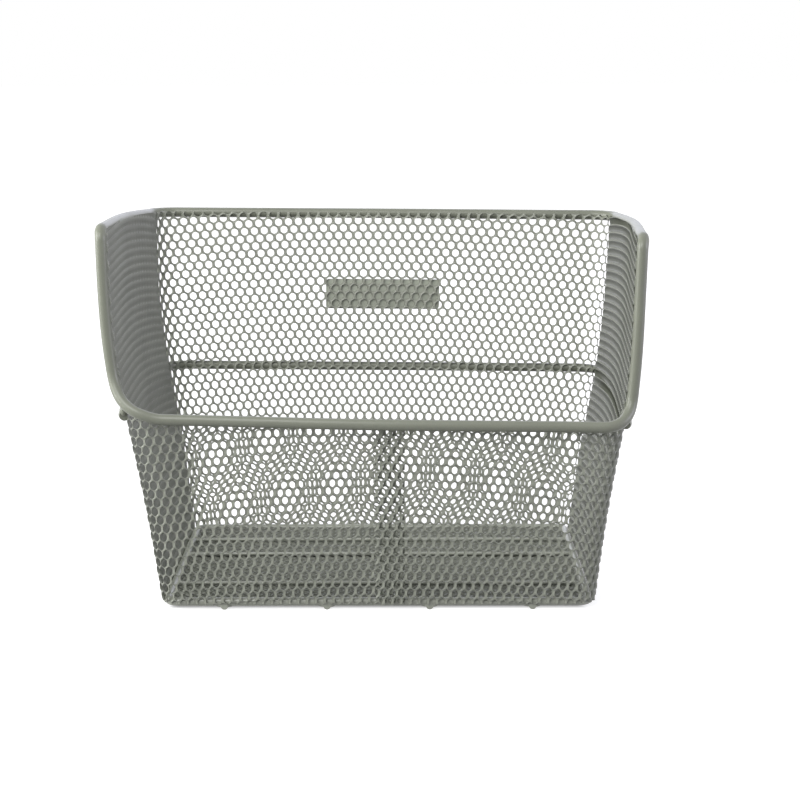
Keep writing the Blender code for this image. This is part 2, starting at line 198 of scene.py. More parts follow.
@dataclass(frozen=True)
class Stance:
    """How the welded basket stands slightly askew, by up to two or three millimetres.

    Attributes:
        twist: How far its low side leans to the left and its back to the right, for each metre
            of height over still_level and of distance from the middle.
        drop: How far it hangs to the right, for each metre of width, from still_level up.
        front_drop: How much more it does so towards the low side, for each metre.
        still_level: Level at which it doesn't move sideways.
        waist: Share by which the side walls are drawn in halfway up to still_level.
        left_swell: How far the left wall stands further out halfway up from still_level.
        right_swell: How far the right wall stands further out near its top.
        half_width: Distance of the side walls from the middle.
        height: Height of the basket over still_level.
    """

    twist: float = 0.083
    drop: float = 0.0155
    front_drop: float = 0.030
    still_level: float = 0.1500
    waist: float = 0.0085
    left_swell: float = 0.0026
    right_swell: float = 0.0012
    half_width: float = 0.2080
    height: float = 0.1700

    def settle(self, piece: Piece) -> None:
        """Move a piece's vertices to where they stand.

        Args:
            piece: The piece, as the symmetrical basket has it.
        """
        points = coordinates(piece)
        x, y, z = points.T
        low = np.clip(z / self.still_level, 0.0, 1.0)
        high = np.clip((z - self.still_level) / self.height, 0.0, 1.0)
        swell = np.where(x < 0, self.left_swell * np.sin(np.pi * high), self.right_swell * high)
        sideways = self.twist * y * (z - self.still_level) - self.waist * x * np.sin(np.pi * low)
        sideways += swell * x / self.half_width
        points[:, 2] -= (self.drop - self.front_drop * y) * x * low
        points[:, 0] += sideways
        move_vertices(piece, points)


def dress(piece: Piece, material: Material, nodes: Sequence[str]) -> None:
    """Settle a finished piece, give it its material and tie it to the frame.

    Args:
        piece: The finished piece, placed in its mesh.
        material: Its finish.
        nodes: The CAD nodes that it stands for.
    """
    Stance().settle(piece)
    piece.data.materials.clear()
    piece.data.materials.append(material)
    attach(piece, "root")
    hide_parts(*nodes)
    triangles = sum(len(polygon.vertices) - 2 for polygon in piece.data.polygons)
    reach = max(corner[2] for corner in piece.bound_box)
    LOG.info("%s: %d triangles, up to %.4f", piece.name, triangles, reach)


def fill(node: bpy.types.Node, inputs: Mapping[str | int, object]) -> None:
    """Give a node's inputs their values, or link them to other nodes.

    Args:
        node: The node.
        inputs: Values or outputs, under the names or numbers of the inputs.
    """
    for name, value in inputs.items():
        if isinstance(value, Socket):
            node.id_data.links.new(value, node.inputs[name])
        else:
            node.inputs[name].default_value = value


def add_node(
    tree: Tree, kind: str, inputs: Mapping[str | int, object] | None = None, **settings: str
) -> bpy.types.Node:
    """Add a shader node.

    Args:
        tree: The node tree.
        kind: The node's type, without the words ShaderNode.
        inputs: What its inputs hold or are linked to.
        **settings: The choices made on the node itself.

    Returns:
        The node.
    """
    node = tree.nodes.new(f"ShaderNode{kind}")
    for name, value in settings.items():
        setattr(node, name, value)
    fill(node, inputs or {})
    return node


@dataclass(frozen=True)
class PowderCoat:
    """Satin powder coat: one colour, a fine orange peel and a slightly uneven gloss.

    Attributes:
        name: Name of the material.
        colour: Base colour, linear.
        roughness: Middle roughness.
        peel: Height of the orange peel.
        coat: Weight of the clear gloss over the colour.
        coat_roughness: Roughness of that gloss.
        specular: Level of the colour's own gloss.
        cloud: Share by which the colour drifts over a wall.
        speckle: Share by which the grains of the powder differ in colour.
        drift: How far the roughness drifts.
        cloud_scale: Waves of both drifts per metre.
        peel_scale: Waves of the orange peel per metre.
        grain_scale: Waves of the grains per metre.
    """

    name: str
    colour: Colour
    roughness: float = 0.42
    peel: float = 0.00003
    coat: float = 0.3
    coat_roughness: float = 0.28
    specular: float = 0.22
    cloud: float = 0.06
    speckle: float = 0.05
    drift: float = 0.05
    cloud_scale: float = 22.0
    peel_scale: float = 420.0
    grain_scale: float = 1680.0

    def material(self) -> Material:
        """Build the node tree of the coat.

        Returns:
            The material.
        """
        cloud_edge, grain_edge = 0.3, 0.35
        material = bpy.data.materials.new(self.name)
        material.use_nodes = True
        tree = material.node_tree
        place = add_node(tree, "TexCoord").outputs["Object"]

        def noise(scale: float, detail: float) -> Socket:
            """A noise on object coordinates."""
            inputs = {"Vector": place, "Scale": scale, "Detail": detail}
            return add_node(tree, "TexNoise", inputs).outputs["Fac"]

        def shades(value: Socket, edge: float, colour: Colour, share: float) -> Socket:
            """A ramp from a darker to a lighter shade of a colour.

            Args:
                value: What decides between them.
                edge: Value at which it is darkest; it is lightest as far below 1.
                colour: The colour halfway.
                share: How much darker and lighter it gets.

            Returns:
                The socket with the shade.
            """
            ramp = add_node(tree, "ValToRGB", {"Fac": value})
            low, high = ramp.color_ramp.elements
            for element, position, change in ((low, edge, -share), (high, 1 - edge, share)):
                element.position = position
                element.color = (*[channel * (1 + change) for channel in colour], 1.0)
            return ramp.outputs["Color"]

        cloud = noise(self.cloud_scale, 3.0)
        cloudy = shades(cloud, cloud_edge, self.colour, self.cloud)
        grainy = shades(noise(self.grain_scale, 2.0), grain_edge, WHITE, self.speckle)
        mixed = {"Factor": 1.0, "A": cloudy, "B": grainy}
        tint = add_node(tree, "Mix", mixed, data_type="RGBA", blend_type="MULTIPLY")
        limits = {"From Min": cloud_edge, "From Max": 1 - cloud_edge}
        limits |= {"To Min": self.roughness - self.drift, "To Max": self.roughness + self.drift}
        gloss = add_node(tree, "MapRange", {"Value": cloud, **limits})
        peel = noise(self.peel_scale, 3.0)
        bump = add_node(tree, "Bump", {"Strength": 1.0, "Distance": self.peel, "Height": peel})
        shader = {
            "Metallic": 0.0,
            "Specular IOR Level": self.specular,
            "Coat Weight": self.coat,
            "Coat Roughness": self.coat_roughness,
            "Base Color": tint.outputs["Result"],
            "Roughness": gloss.outputs["Result"],
            "Normal": bump.outputs["Normal"],
        }
        fill(tree.nodes["Principled BSDF"], shader)
        return material


@dataclass(frozen=True)
class Wall:
    """The wall's outer face: a rounded rectangle at each level, with bowed sides.

    Attributes:
        base_width: Width at the base wire; knee_width and top_width are those further up.
        base_length: Length at the base wire; knee_length and top_length are those further up.
        base_corner: Corner radius at the base wire; top_corner is that at the tips.
        base_level: Level of the base wire.
        knee_level: Level of the knee between the wall's two slopes.
        low_rim_level: Level of the low rim.
        belt_level: Level of the belt.
        tip_level: Level of the rim's front tips.
        back_level: Level of the rim at the back.
        knee_blend: Half height of the soft knee.
        rim_arch: How far the rim rises over a straight line along each side.
        front_bow: How far the low side swells in its middle, in full at the rim; side_bow and
            back_bow are those of the other walls.
        foot_bends: Radii of the rim's lower bends, at its centre line, on the right and the left.
        tip_bend: Radius of the rim's upper bends.
        upright_lead: How far the uprights stand ahead of the side walls' straight part.
        nudge: A small distance, over which directions are measured.
    """

    base_width: float = 0.3500
    knee_width: float = 0.4058
    top_width: float = 0.4160
    base_length: float = 0.2930
    knee_length: float = 0.3234
    top_length: float = 0.3234
    base_corner: float = 0.0150
    top_corner: float = 0.0190
    base_level: float = 0.0058
    knee_level: float = 0.1860
    low_rim_level: float = 0.1550
    belt_level: float = 0.1550
    tip_level: float = 0.3026
    back_level: float = 0.2963
    knee_blend: float = 0.0500
    rim_arch: float = 0.0020
    front_bow: float = 0.0060
    side_bow: float = 0.0040
    back_bow: float = 0.0032
    foot_bends: tuple[float, float] = (0.0240, 0.0380)
    tip_bend: float = 0.0090
    upright_lead: float = 0.0040
    nudge: float = 0.0001

    def flare(self, level: Array, base: float, knee: float, top: float) -> Array:
        """Half size at a level: two straight slopes with a soft knee between them.

        Args:
            level: Heights.
            base: Size at the base wire.
            knee: Size at the knee.
            top: Size at the tips.

        Returns:
            The half sizes.
        """
        lower = (knee - base) / (self.knee_level - self.base_level)
        upper = (top - knee) / (self.tip_level - self.knee_level)
        above = level - self.knee_level
        share = np.clip((above + self.knee_blend) / (2 * self.knee_blend), 0.0, 1.0)
        past = np.maximum(above - self.knee_blend, 0.0)
        turned = self.knee_blend * share * share + past
        return (knee + lower * above + (upper - lower) * turned) / 2

    def rise(self, level: Array, full_level: float) -> Array:
        """Share of the way from the base wire to full_level, from 0 to 1."""
        return np.clip((level - self.base_level) / (full_level - self.base_level), 0.0, 1.0)

    def plan(self, level: Array) -> tuple[Array, ...]:
        """Half width, half length, corner radius and the front, side and back bows at a level.

        Args:
            level: Heights.

        Returns:
            Those six sizes.
        """
        share = self.rise(level, self.tip_level)
        half_width = self.flare(level, self.base_width, self.knee_width, self.top_width)
        half_length = self.flare(level, self.base_length, self.knee_length, self.top_length)
        corner = self.base_corner + (self.top_corner - self.base_corner) * share
        front_bow = self.front_bow * self.rise(level, self.low_rim_level)
        return half_width, half_length, corner, front_bow, self.side_bow * share, self.back_bow * share

    @cached_property
    def runs(self) -> list[float]:
        """The nine runs around the wall, from the middle of the low side.

        Returns:
            Their lengths; every second run is a corner.
        """
        half_width, half_length, corner = [float(size) for size in self.plan(np.array(self.belt_level))[:3]]
        arc = corner * math.pi / 2
        across = half_width - corner
        along = 2 * (half_length - corner)
        return [across, arc, along, arc, 2 * across, arc, along, arc, across]

    @cached_property
    def starts(self) -> list[float]:
        """Where each run starts."""
        return [sum(self.runs[:index]) for index in range(len(self.runs))]

    @property
    def full_turn(self) -> float:
        """The whole way around."""
        return sum(self.runs)

    @property
    def upright(self) -> float:
        """Where the right upright stands."""
        return self.starts[2] - self.upright_lead

    @property
    def corner_middles(self) -> list[float]:
        """Middles of the four corners."""
        return [self.starts[index] + self.runs[index] / 2 for index in (1, 3, 5, 7)]

    def section(self, around: Array, level: Array) -> Array:
        """Points of the outer face.

        Args:
            around: Ways around, one for each point.
            level: Heights, one for each point.

        Returns:
            One row of three coordinates for each point.
        """
        half_width, half_length, corner, front_bow, side_bow, back_bow = self.plan(level)
        across = half_width - corner
        along = half_length - corner
        starts = np.array(self.starts)
        run = np.clip(np.searchsorted(starts, around, side="left") - 1, 0, len(starts) - 1)
        share = (around - starts[run]) / np.array(self.runs)[run]

        def bulge(bow: Array, way: Array) -> Array:
            """Bow at a share of the way from a wall's middle, -1 to 1, to its corners."""
            return bow * np.cos(np.pi / 2 * way) ** 2

        front_way = np.where(run == 0, share, share - 1)
        back_way = 1 - 2 * share
        side = np.where(run == 2, 1.0, -1.0)
        side_way = 2 * share - 1
        angle = ((run - 1) / 2 - 1 + share) * np.pi / 2
        centre_x = np.where((run == 1) | (run == 3), across, -across)
        centre_y = np.where((run == 3) | (run == 5), along, -along)
        walls = [(run == 0) | (run == 8), run == 4, (run == 2) | (run == 6)]
        wall_x = [front_way * across, back_way * across, side * (half_width + bulge(side_bow, side_way))]
        front_y = -half_length - bulge(front_bow, front_way)
        wall_y = [front_y, half_length + bulge(back_bow, back_way), side * side_way * along]
        x = np.select(walls, wall_x, centre_x + corner * np.cos(angle))
        y = np.select(walls, wall_y, centre_y + corner * np.sin(angle))
        return np.stack([x, y, level], axis=1)

    def place(self, around: Array, level: Array, offset: Array) -> Array:
        """Points at a distance outside the outer face.

        Args:
            around: Ways around.
            level: Heights.
            offset: Distances from the outer face, positive outwards.

        Returns:
            One row of three coordinates for each point.
        """
        around = np.asarray(around, float)
        level = np.asarray(level, float)
        sideways = self.section(around + self.nudge, level) - self.section(around - self.nudge, level)
        upwards = self.section(around, level + self.nudge) - self.section(around, level - self.nudge)
        outwards = np.cross(sideways, upwards)
        outwards /= np.linalg.norm(outwards, axis=1)[:, None]
        return self.section(around, level) + outwards * np.broadcast_to(offset, around.shape)[:, None]

    def point(self, around: float, level: float, offset: float = 0.0) -> Vector:
        """One point at a distance outside the outer face."""
        return Vector(self.place(np.array([around]), np.array([level]), np.array([offset]))[0])

    def top_level(self, around: float) -> float:
        """Level of the rim's centre line along the sides and the back.

        Args:
            around: The way around.

        Returns:
            The level.
        """
        near = min(around, self.full_turn - around)
        share = min(max((near - self.starts[2]) / self.runs[2], 0.0), 1.0)
        slope = self.tip_level + (self.back_level - self.tip_level) * share
        return slope + self.rim_arch * 4 * share * (1 - share)

    def stops(self, start: float, end: float, step: float, corner_step: float) -> list[float]:
        """Ways around from start to end, close together on the corners.

        Args:
            start: The first way around.
            end: The last one.
            step: Longest step on a run.
            corner_step: Longest step on a corner.

        Returns:
            The ways around.
        """
        stops = [start]
        for index, length in enumerate(self.runs):
            low = max(start, self.starts[index])
            high = min(end, self.starts[index] + length)
            if high - low > self.nudge:
                count = math.ceil((high - low) / (corner_step if index % 2 else step))
                stops += [low + (high - low) * number / count for number in range(1, count + 1)]
        return stops

    def rim_route(self, grow: float, step: float, corner_step: float, bend_steps: int) -> list[Place]:
        """The rim once around from the middle of the low side.

        Args:
            grow: Distance of the route outside the rim's centre line, within the sheet.
            step: Longest step on a run.
            corner_step: Longest step on a corner.
            bend_steps: Steps in each bend of the rim.

        Returns:
            The route, whose last point is its first once more.
        """
        upright = self.upright - grow
        low = self.low_rim_level + grow
        tip = self.tip_bend + grow
        past_tip = upright + tip
        top = self.top_level(past_tip) + grow
        turns = [math.pi / 2 * index / bend_steps for index in range(1, bend_steps + 1)]
        halves = []
        for bend in self.foot_bends:
            foot = bend - grow
            bent = upright - foot
            half = [(around, low) for around in self.stops(0.0, bent, step, corner_step)]
            half += [(bent + foot * math.sin(turn), low + foot - foot * math.cos(turn)) for turn in turns]
            height = top - tip - (low + foot)
            count = math.ceil(height / step)
            half += [(upright, low + foot + height * number / count) for number in range(1, count + 1)]
            half += [(past_tip - tip * math.cos(turn), top - tip + tip * math.sin(turn)) for turn in turns]
            stops = self.stops(past_tip, self.full_turn / 2, step, corner_step)[1:]
            halves.append(half + [(around, self.top_level(around) + grow) for around in stops])
        right, left = halves
        return right + [(self.full_turn - around, level) for around, level in reversed(left[:-1])]


@dataclass(frozen=True)
class ExpandedMetal:
    """Expanded metal: rows of rounded six-sided holes between leaning strands.

    The long bonds stand upright between the holes of a row. Each leans about its length, as the
    press leaves it, so that the strands that rise to the right face up and the others down.

    Attributes:
        pitch: Distance between the holes of a row.
        rows: Distance between the rows.
        point_share: Half height of a cell, as a share of that distance.
        bond: Width of the bonds.
        strand: Width of the slanting strands.
        sheet: Thickness in the middle of a strand.
        edge_share: Thickness of a strand's edge, as a share of the sheet.
        lean: How far each edge of a bond stands out of the sheet's middle.
        tilt: How far each edge of a slanting strand stands out of it, the one further on in front.
        roundness: How far the corners of the holes are drawn in.
        crease: Angle of the edges that stay sharp, in degrees.
        merge: Distance below which two points are one.
    """

    pitch: float
    rows: float = 0.00695
    point_share: float = 0.70
    bond: float = 0.0024
    strand: float = 0.00145
    sheet: float = 0.0010
    edge_share: float = 0.5
    lean: float = 0.0010
    tilt: float = 0.00035
    roundness: float = 0.10
    crease: float = 75.0
    merge: float = 0.00001

    @property
    def point(self) -> float:
        """Half height of a cell, from its middle to its upper point."""
        return self.rows * self.point_share

    @property
    def shoulder(self) -> float:
        """Half length of a cell's upright sides."""
        return self.rows * (1 - self.point_share)

    @property
    def slant(self) -> tuple[float, float, float]:
        """A slanting side of a cell.

        Returns:
            Its outward direction, as two parts, and its distance from the middle.
        """
        drop = self.point - self.shoulder
        length = math.hypot(drop, self.pitch / 2)
        return drop / length, self.pitch / 2 / length, self.pitch / 2 * self.point / length

    def ring(self, inset_side: float, inset_slant: float, drawn_in: float) -> list[Place]:
        """Twelve points around a cell, anticlockwise from its right side's middle.

        Args:
            inset_side: Distance inside the upright sides.
            inset_slant: Distance inside the slanting sides.
            drawn_in: Share by which the six corners are drawn in.

        Returns:
            The points.
        """
        part_x, part_y, distance = self.slant
        side = self.pitch / 2 - inset_side
        top = (distance - inset_slant) / part_y
        shoulder = (distance - inset_slant - part_x * side) / part_y
        keep = 1 - drawn_in
        right = [(side, 0.0), (side * keep, shoulder * keep), (side / 2, (top + shoulder) / 2)]
        upper = [*right, (0.0, top * keep), *[(-x, y) for x, y in reversed(right)]]
        return upper + [(x, -y) for x, y in reversed(upper[1:-1])]

    def cell(self) -> Piece:
        """Model two neighbouring cells of the flat net, without thickness.

        Returns:
            The object, with the first hole's middle at the origin.
        """
        radius = self.pitch / 2
        hole_share = 0.8
        outline = self.ring(0.0, 0.0, 0.0)
        hole = self.ring(self.bond / 2, self.strand / 2, self.roundness)
        sides = len(outline)
        pick()
        bpy.ops.mesh.primitive_circle_add(vertices=sides, radius=radius)
        cell = bpy.context.object
        with editing(cell):
            bpy.ops.mesh.extrude_region_move(TRANSFORM_OT_translate={"value": (0, 0, 0)})
            bpy.ops.transform.resize(value=(hole_share, hole_share, 1))
        for vertex in cell.data.vertices:
            corner = round(math.atan2(vertex.co.y, vertex.co.x) / (2 * math.pi / sides)) % sides
            ring = outline if vertex.co.length > radius * (1 + hole_share) / 2 else hole
            vertex.co = (*ring[corner], 0.0)
        cell.data.update()
        with editing(cell):
            bpy.ops.mesh.normals_make_consistent(inside=False)
            bpy.ops.mesh.duplicate_move(TRANSFORM_OT_translate={"value": (radius, self.rows, 0)})
        if cell.data.polygons[0].normal.z < 0:
            cell.data.flip_normals()
        return cell

    def flat(self, name: str, columns: tuple[int, int], rows: tuple[int, int]) -> Piece:
        """Spread the cells to a flat net.

        Args:
            name: Name of the piece.
            columns: First column and the one after the last.
            rows: First row, which is even, and the one after the last.

        Returns:
            The net, whose hole of column 0 and row 0 has its middle at the origin.
        """
        self.cell()
        net = name_new(name)
        for label, count, step in (
            ("columns", columns[1] - columns[0], (self.pitch, 0, 0)),
            ("rows", math.ceil((rows[1] - rows[0]) / 2), (0, 2 * self.rows, 0)),
        ):
            spread = net.modifiers.new(label, "ARRAY")
            spread.use_relative_offset = False
            spread.use_constant_offset = True
            spread.constant_offset_displace = step
            spread.count = count
            bpy.ops.object.modifier_apply(modifier=label)
        with editing(net):
            bpy.ops.mesh.remove_doubles(threshold=self.merge)
            bpy.ops.transform.translate(value=(columns[0] * self.pitch, rows[0] * self.rows, 0))
        return net

    def thicken(self, net: Piece) -> None:
        """Give a flat net its thickness, closed along every edge.

        Args:
            net: The flat net.
        """
        pick(net)
        wall = net.modifiers.new("wall", "SOLIDIFY")
        wall.thickness = self.sheet
        wall.offset = 0.0
        bpy.ops.object.modifier_apply(modifier="wall")

    def height(self, x: Array, y: Array, side: Array) -> Array:
        """Height of the pressed net over its middle plane.

        Args:
            x: Places along the rows of the flat net.
            y: Places across the rows.
            side: 1 for the outer face, -1 for the inner face.

        Returns:
            The heights.
        """
        part_x, part_y, distance = self.slant
        row = np.floor(y / self.rows) + np.array([[0.0], [1.0]])
        shift = 0.5 * (row % 2)
        off_x = x - (np.round(x / self.pitch - shift) + shift) * self.pitch
        off_y = y - row * self.rows
        sideways = np.abs(off_x) / (self.pitch / 2)
        slanted = (np.abs(off_x) * part_x + np.abs(off_y) * part_y) / distance
        # Of the cells in the rows below and above, only the one that holds the place counts.
        both = np.stack([off_x, off_y, sideways, slanted])
        upper_cell = np.maximum(*both[2:, 1]) < np.maximum(*both[2:, 0])
        off_x, off_y, sideways, slanted = np.where(upper_cell, both[:, 1], both[:, 0])
        edge = np.where(sideways > slanted, 1 - self.bond / self.pitch, 1 - self.strand / 2 / distance)
        share = np.clip((1 - np.maximum(sideways, slanted)) / (1 - edge), 0.0, 1.0)
        lean = -self.lean * share * off_x / ((self.pitch - self.bond) / 2)
        lean -= self.tilt * share * off_y / (self.point + self.shoulder) * 2
        return lean + side * self.sheet / 2 * (1 - (1 - self.edge_share) * share * share)

    def cut(self, net: Piece, start: Place, end: Place, past: float, reach: float) -> None:
        """Cut the flat net along a line and take away what lies to the left of it.

        Args:
            net: The flat net, in edit mode.
            start: Where the line starts.
            end: Where it ends.
            past: Share of its length by which the line goes on past both its ends.
            reach: How far from the line faces are cut or taken away.
        """
        first = Vector((*start, 0))
        along = Vector((*end, 0)) - first
        length = along.length
        along = along / length

        def near_line(face: bmesh.types.BMFace) -> bool:
            """Whether a face is cut or taken away, if it isn't to the right of the line."""
            off = face.calc_center_median() - first
            return -past <= off.dot(along) / length <= 1 + past and abs(along.cross(off).z) < reach

        if select(net, lambda model: [face for face in model.faces if near_line(face)]):
            left = (-along.y, along.x, 0.0)
            bpy.ops.mesh.bisect(plane_co=first, plane_no=left, clear_outer=True, threshold=2 * self.merge)


@dataclass
class WallSheet:
    """The wall: one sheet of expanded metal, wrapped around and lapped on the low side.

    Attributes:
        wall: The face that it is wrapped onto.
        material: Its finish.
        columns: Holes in a row, once around.
        crowding: Share by which the holes crowd on the low side.
        crowd_reach: How far they do so, as a share of the way to the uprights.
        crowd_fall: How sharply it ends there.
        arching: How strongly the rows arch on each wall, so that they are low at the corners.
        side_crown: How far behind the front corners the rows are highest on the sides.
        spread: How strongly the columns spread over the back, above spread_level.
        climb: How far the rows climb once around.
        first_place: Place of a hole of the first column, near the sheet's start.
        first_level: Level of the first row of holes in the middle of the low side.
        foot_level: Level of the sheet's lower edge.
        above_rim: How far the sheet's upper edge stands over the rim's centre line.
        lap: Width of the lap.
        lap_place: Middle of the lap.
        lap_foot: Level up to which the start lies outside the end.
        lap_fade: Height over which they change places.
        lap_ramp: Distance over which a lapped end leaves the wall's face.
        weld_gap: Gap between lapped sheets.
        margin: How far over the rim the flat net reaches before it is cut.
        cut_step: Longest step of the cut along the rim.
        cut_past: How far a cut along the side and back rims goes past its ends.
        table_steps: Steps of the table for crowding once around, and of the other one half around.
        tries: Steps in which a place on the wall is found.
    """

    wall: Wall
    material: Material
    columns: float = 170.13
    crowding: float = 0.028
    crowd_reach: float = 0.98
    crowd_fall: int = 8
    arching: float = 0.66
    side_crown: float = 0.1229
    spread: float = 3.9
    spread_level: float = 0.1460
    climb: float = 0.00870
    first_place: float = 0.0295
    first_level: float = 0.0004
    foot_level: float = 0.0050
    above_rim: float = 0.0010
    lap: float = 0.0260
    lap_place: float = 0.0110
    lap_foot: float = 0.0120
    lap_fade: float = 0.0400
    lap_ramp: float = 0.0200
    weld_gap: float = 0.0003
    margin: float = 0.0080
    cut_step: float = 0.0600
    cut_past: float = 0.0060
    table_steps: int = 1000
    tries: int = 12
    metal: ExpandedMetal = field(init=False)

    def __post_init__(self) -> None:
        """Take the pitch of the holes from the way around."""
        self.metal = ExpandedMetal(pitch=self.wall.full_turn / self.columns)

    @property
    def start(self) -> float:
        """Where the sheet starts."""
        return self.lap_place - self.lap / 2

    @property
    def end(self) -> float:
        """Where it ends, past a full turn."""
        return self.wall.full_turn + self.start + self.lap

    @property
    def over_bend(self) -> float:
        """Level of the upper end of the rim's larger lower bend."""
        return self.wall.low_rim_level + max(self.wall.foot_bends)

    @cached_property
    def crowd_table(self) -> tuple[Array, Array]:
        """How far the holes are moved to crowd on the low side.

        Returns:
            Ways around, and the distances there.
        """
        turn = self.wall.full_turn
        around = np.linspace(-turn, 2 * turn, 3 * self.table_steps + 1)
        off_front = np.abs(np.mod(around + turn / 2, turn) - turn / 2)
        front = 1 / (1 + (off_front / (self.crowd_reach * self.wall.upright)) ** self.crowd_fall)
        total = running_sum(around, front)
        share = (np.interp(turn, around, total) - np.interp(0.0, around, total)) / turn
        moved = total - share * around
        return around, moved - np.interp(0.0, around, moved)

    def crowd(self, around: Array) -> Array:
        """How far the holes are moved there to crowd on the low side."""
        return self.crowding * np.interp(around, *self.crowd_table)

    @cached_property
    def dip_table(self) -> tuple[Array, Array]:
        """How far the rows lie below those in the middle of the low side.

        Returns:
            Ways around, and the distances there.
        """
        turn = self.wall.full_turn
        starts = self.wall.starts
        crown = self.wall.corner_middles[0] + self.side_crown
        knots = [0.0, starts[1], starts[2], starts[3], starts[4], turn / 2]
        slopes = [0.0, starts[1], starts[2] - crown, starts[3] - crown, starts[4] - turn / 2, 0.0]
        half = np.linspace(0.0, turn / 2, self.table_steps + 1)
        slope = self.arching * np.interp(half, knots, slopes)
        low = running_sum(half, slope)
        return np.concatenate([half, turn - half[-2::-1]]), np.concatenate([low, low[-2::-1]])

    def dip(self, around: Array) -> Array:
        """How far the rows lie there below those in the middle of the low side."""
        return np.interp(np.mod(around, self.wall.full_turn), *self.dip_table)

    def fan(self, around: Array, level: Array) -> Array:
        """How far the columns spread there towards the rim of the back.

        Args:
            around: Ways around.
            level: Heights.

        Returns:
            The distances.
        """
        starts = self.wall.starts
        turn = self.wall.full_turn
        most = self.arching * (turn / 2 - starts[4])
        knots = [-turn, starts[2], starts[4], starts[5], turn - starts[2], 2 * turn]
        slope = np.interp(around, knots, [0.0, 0.0, most, -most, 0.0, 0.0])
        return slope * self.spread * np.maximum(level - self.spread_level, 0.0) ** 2

    def to_flat(self, around: Array, level: Array) -> tuple[Array, Array]:
        """Places on the flat net of places on the wall."""
        x = around - self.first_place + self.crowd(around) + self.fan(around, level)
        return x, level - self.first_level + self.dip(around) - self.climb * around / self.wall.full_turn

    def to_wall(self, x: Array, y: Array) -> tuple[Array, Array]:
        """Places on the wall of places on the flat net, found in a few steps.

        Args:
            x: Places along the rows of the flat net.
            y: Places across the rows.

        Returns:
            The ways around and the heights.
        """
        around = x + self.first_place
        level = y + self.first_level
        for _ in range(self.tries):
            around = x + self.first_place - self.crowd(around) - self.fan(around, level)
            level = y + self.first_level - self.dip(around) + self.climb * around / self.wall.full_turn
        return around, level

    def lap_offset(self, around: Array, level: Array) -> Array:
        """Distance by which a lapped end leaves the wall's face, positive outwards.

        Args:
            around: Ways around.
            level: Heights.

        Returns:
            The distances.
        """
        foot_share = 1 - np.clip((level - self.lap_foot) / self.lap_fade, 0.0, 1.0)
        past_start = around - self.start - self.lap - self.weld_gap
        past_end = around - self.wall.full_turn - self.start + self.weld_gap
        start_share = np.clip(1 - past_start / self.lap_ramp, 0.0, 1.0)
        end_share = np.clip(1 + past_end / self.lap_ramp, 0.0, 1.0)
        outwards = start_share**2 * (3 - 2 * start_share) * foot_share
        inwards = end_share**2 * (3 - 2 * end_share) * (1 - foot_share)
        return (self.metal.sheet + self.weld_gap) * (outwards - inwards)

    def split(self, stretch: Stretch) -> tuple[int, int]:
        """First column of a stretch and the one after its last.

        Args:
            stretch: Which stretch.

        Returns:
            The two columns.
        """
        belt = np.full(4, self.wall.belt_level)
        corners = np.round(self.to_flat(np.array(self.wall.corner_middles), belt)[0] / self.metal.pitch)
        edges = self.to_flat(np.array([self.start, self.end]), belt[:2])[0] / self.metal.pitch
        limits = [math.floor(edges[0]) - 1, *[int(corner) for corner in corners], math.ceil(edges[1]) + 2]
        index = list(Stretch).index(stretch)
        return limits[index], limits[index + 1]

    def trim(self, net: Piece) -> None:
        """Cut a flat net, laid out by way around and level, to the sheet's outline.

        Args:
            net: The flat net.
        """
        share_past = 0.02
        rim_reach, edge_reach = 0.02, 0.05
        top = 0.2
        bend_steps = 6
        route = self.wall.rim_route(self.above_rim, self.cut_step, self.cut_step, bend_steps)
        ends = (-self.margin, self.wall.full_turn + 2 * self.lap)
        route = [(ends[0], route[0][1]), *route, (ends[1], route[0][1])]
        outline = np.transpose(route)
        beside = self.margin * np.array([-1.0, 0.0, 1.0])

        def over_rim(face: bmesh.types.BMFace) -> bool:
            """Whether a face lies well over the rim."""
            centre = face.calc_center_median()
            return centre.y > np.interp(centre.x + beside, *outline).max() + self.margin

        with editing(net):
            select(net, lambda model: [face for face in model.faces if over_rim(face)])
            bpy.ops.mesh.delete(type="FACE")
            model = bmesh.from_edit_mesh(net.data)
            places = [vertex.co.x for vertex in model.verts]
            low, high = min(places), max(places)
            for start, end in zip(route, route[1:]):
                if end[0] < low - self.margin or start[0] > high + self.margin:
                    continue
                on_top = min(start[1], end[1]) > self.over_bend and start[0] != end[0]
                past = self.cut_past / math.dist(start, end) if on_top else share_past
                self.metal.cut(net, start, end, past, rim_reach)
            self.metal.cut(net, (high, self.foot_level), (low, self.foot_level), 1.0, edge_reach)
            if low < self.start:
                self.metal.cut(net, (self.start, -self.margin), (self.start, top), 1.0, edge_reach)
            if high > self.end:
                self.metal.cut(net, (self.end, top), (self.end, -self.margin), 1.0, edge_reach)
            bpy.ops.mesh.select_all(action="SELECT")
            bpy.ops.mesh.delete_loose()

    def build(self, stretch: Stretch) -> None:
        """Model one stretch of the sheet.

        Args:
            stretch: Which stretch.
        """
        on_low_side = stretch in (Stretch.START, Stretch.END)
        top = self.over_bend if on_low_side else self.wall.tip_level
        first = 2 * math.floor((self.foot_level - self.first_level) / self.metal.rows / 2) - 2
        last = math.ceil((top + self.dip_table[1].max()) / self.metal.rows) + 1
        net = self.metal.flat(f"wall_sheet_{stretch.value}", self.split(stretch), (first, last))
        points = coordinates(net)
        around, level = self.to_wall(points[:, 0], points[:, 1])
        move_vertices(net, np.stack([around, level, np.zeros_like(level)], axis=1))
        self.trim(net)
        self.metal.thicken(net)
        around, level, side = coordinates(net).T
        height = self.metal.height(*self.to_flat(around, level), np.sign(side))
        offset = height - self.metal.sheet / 2 + self.lap_offset(around, level)
        move_vertices(net, self.wall.place(around, level, offset))
        smooth(net, self.metal.crease)
        dress(net, self.material, ["wall_mesh"])


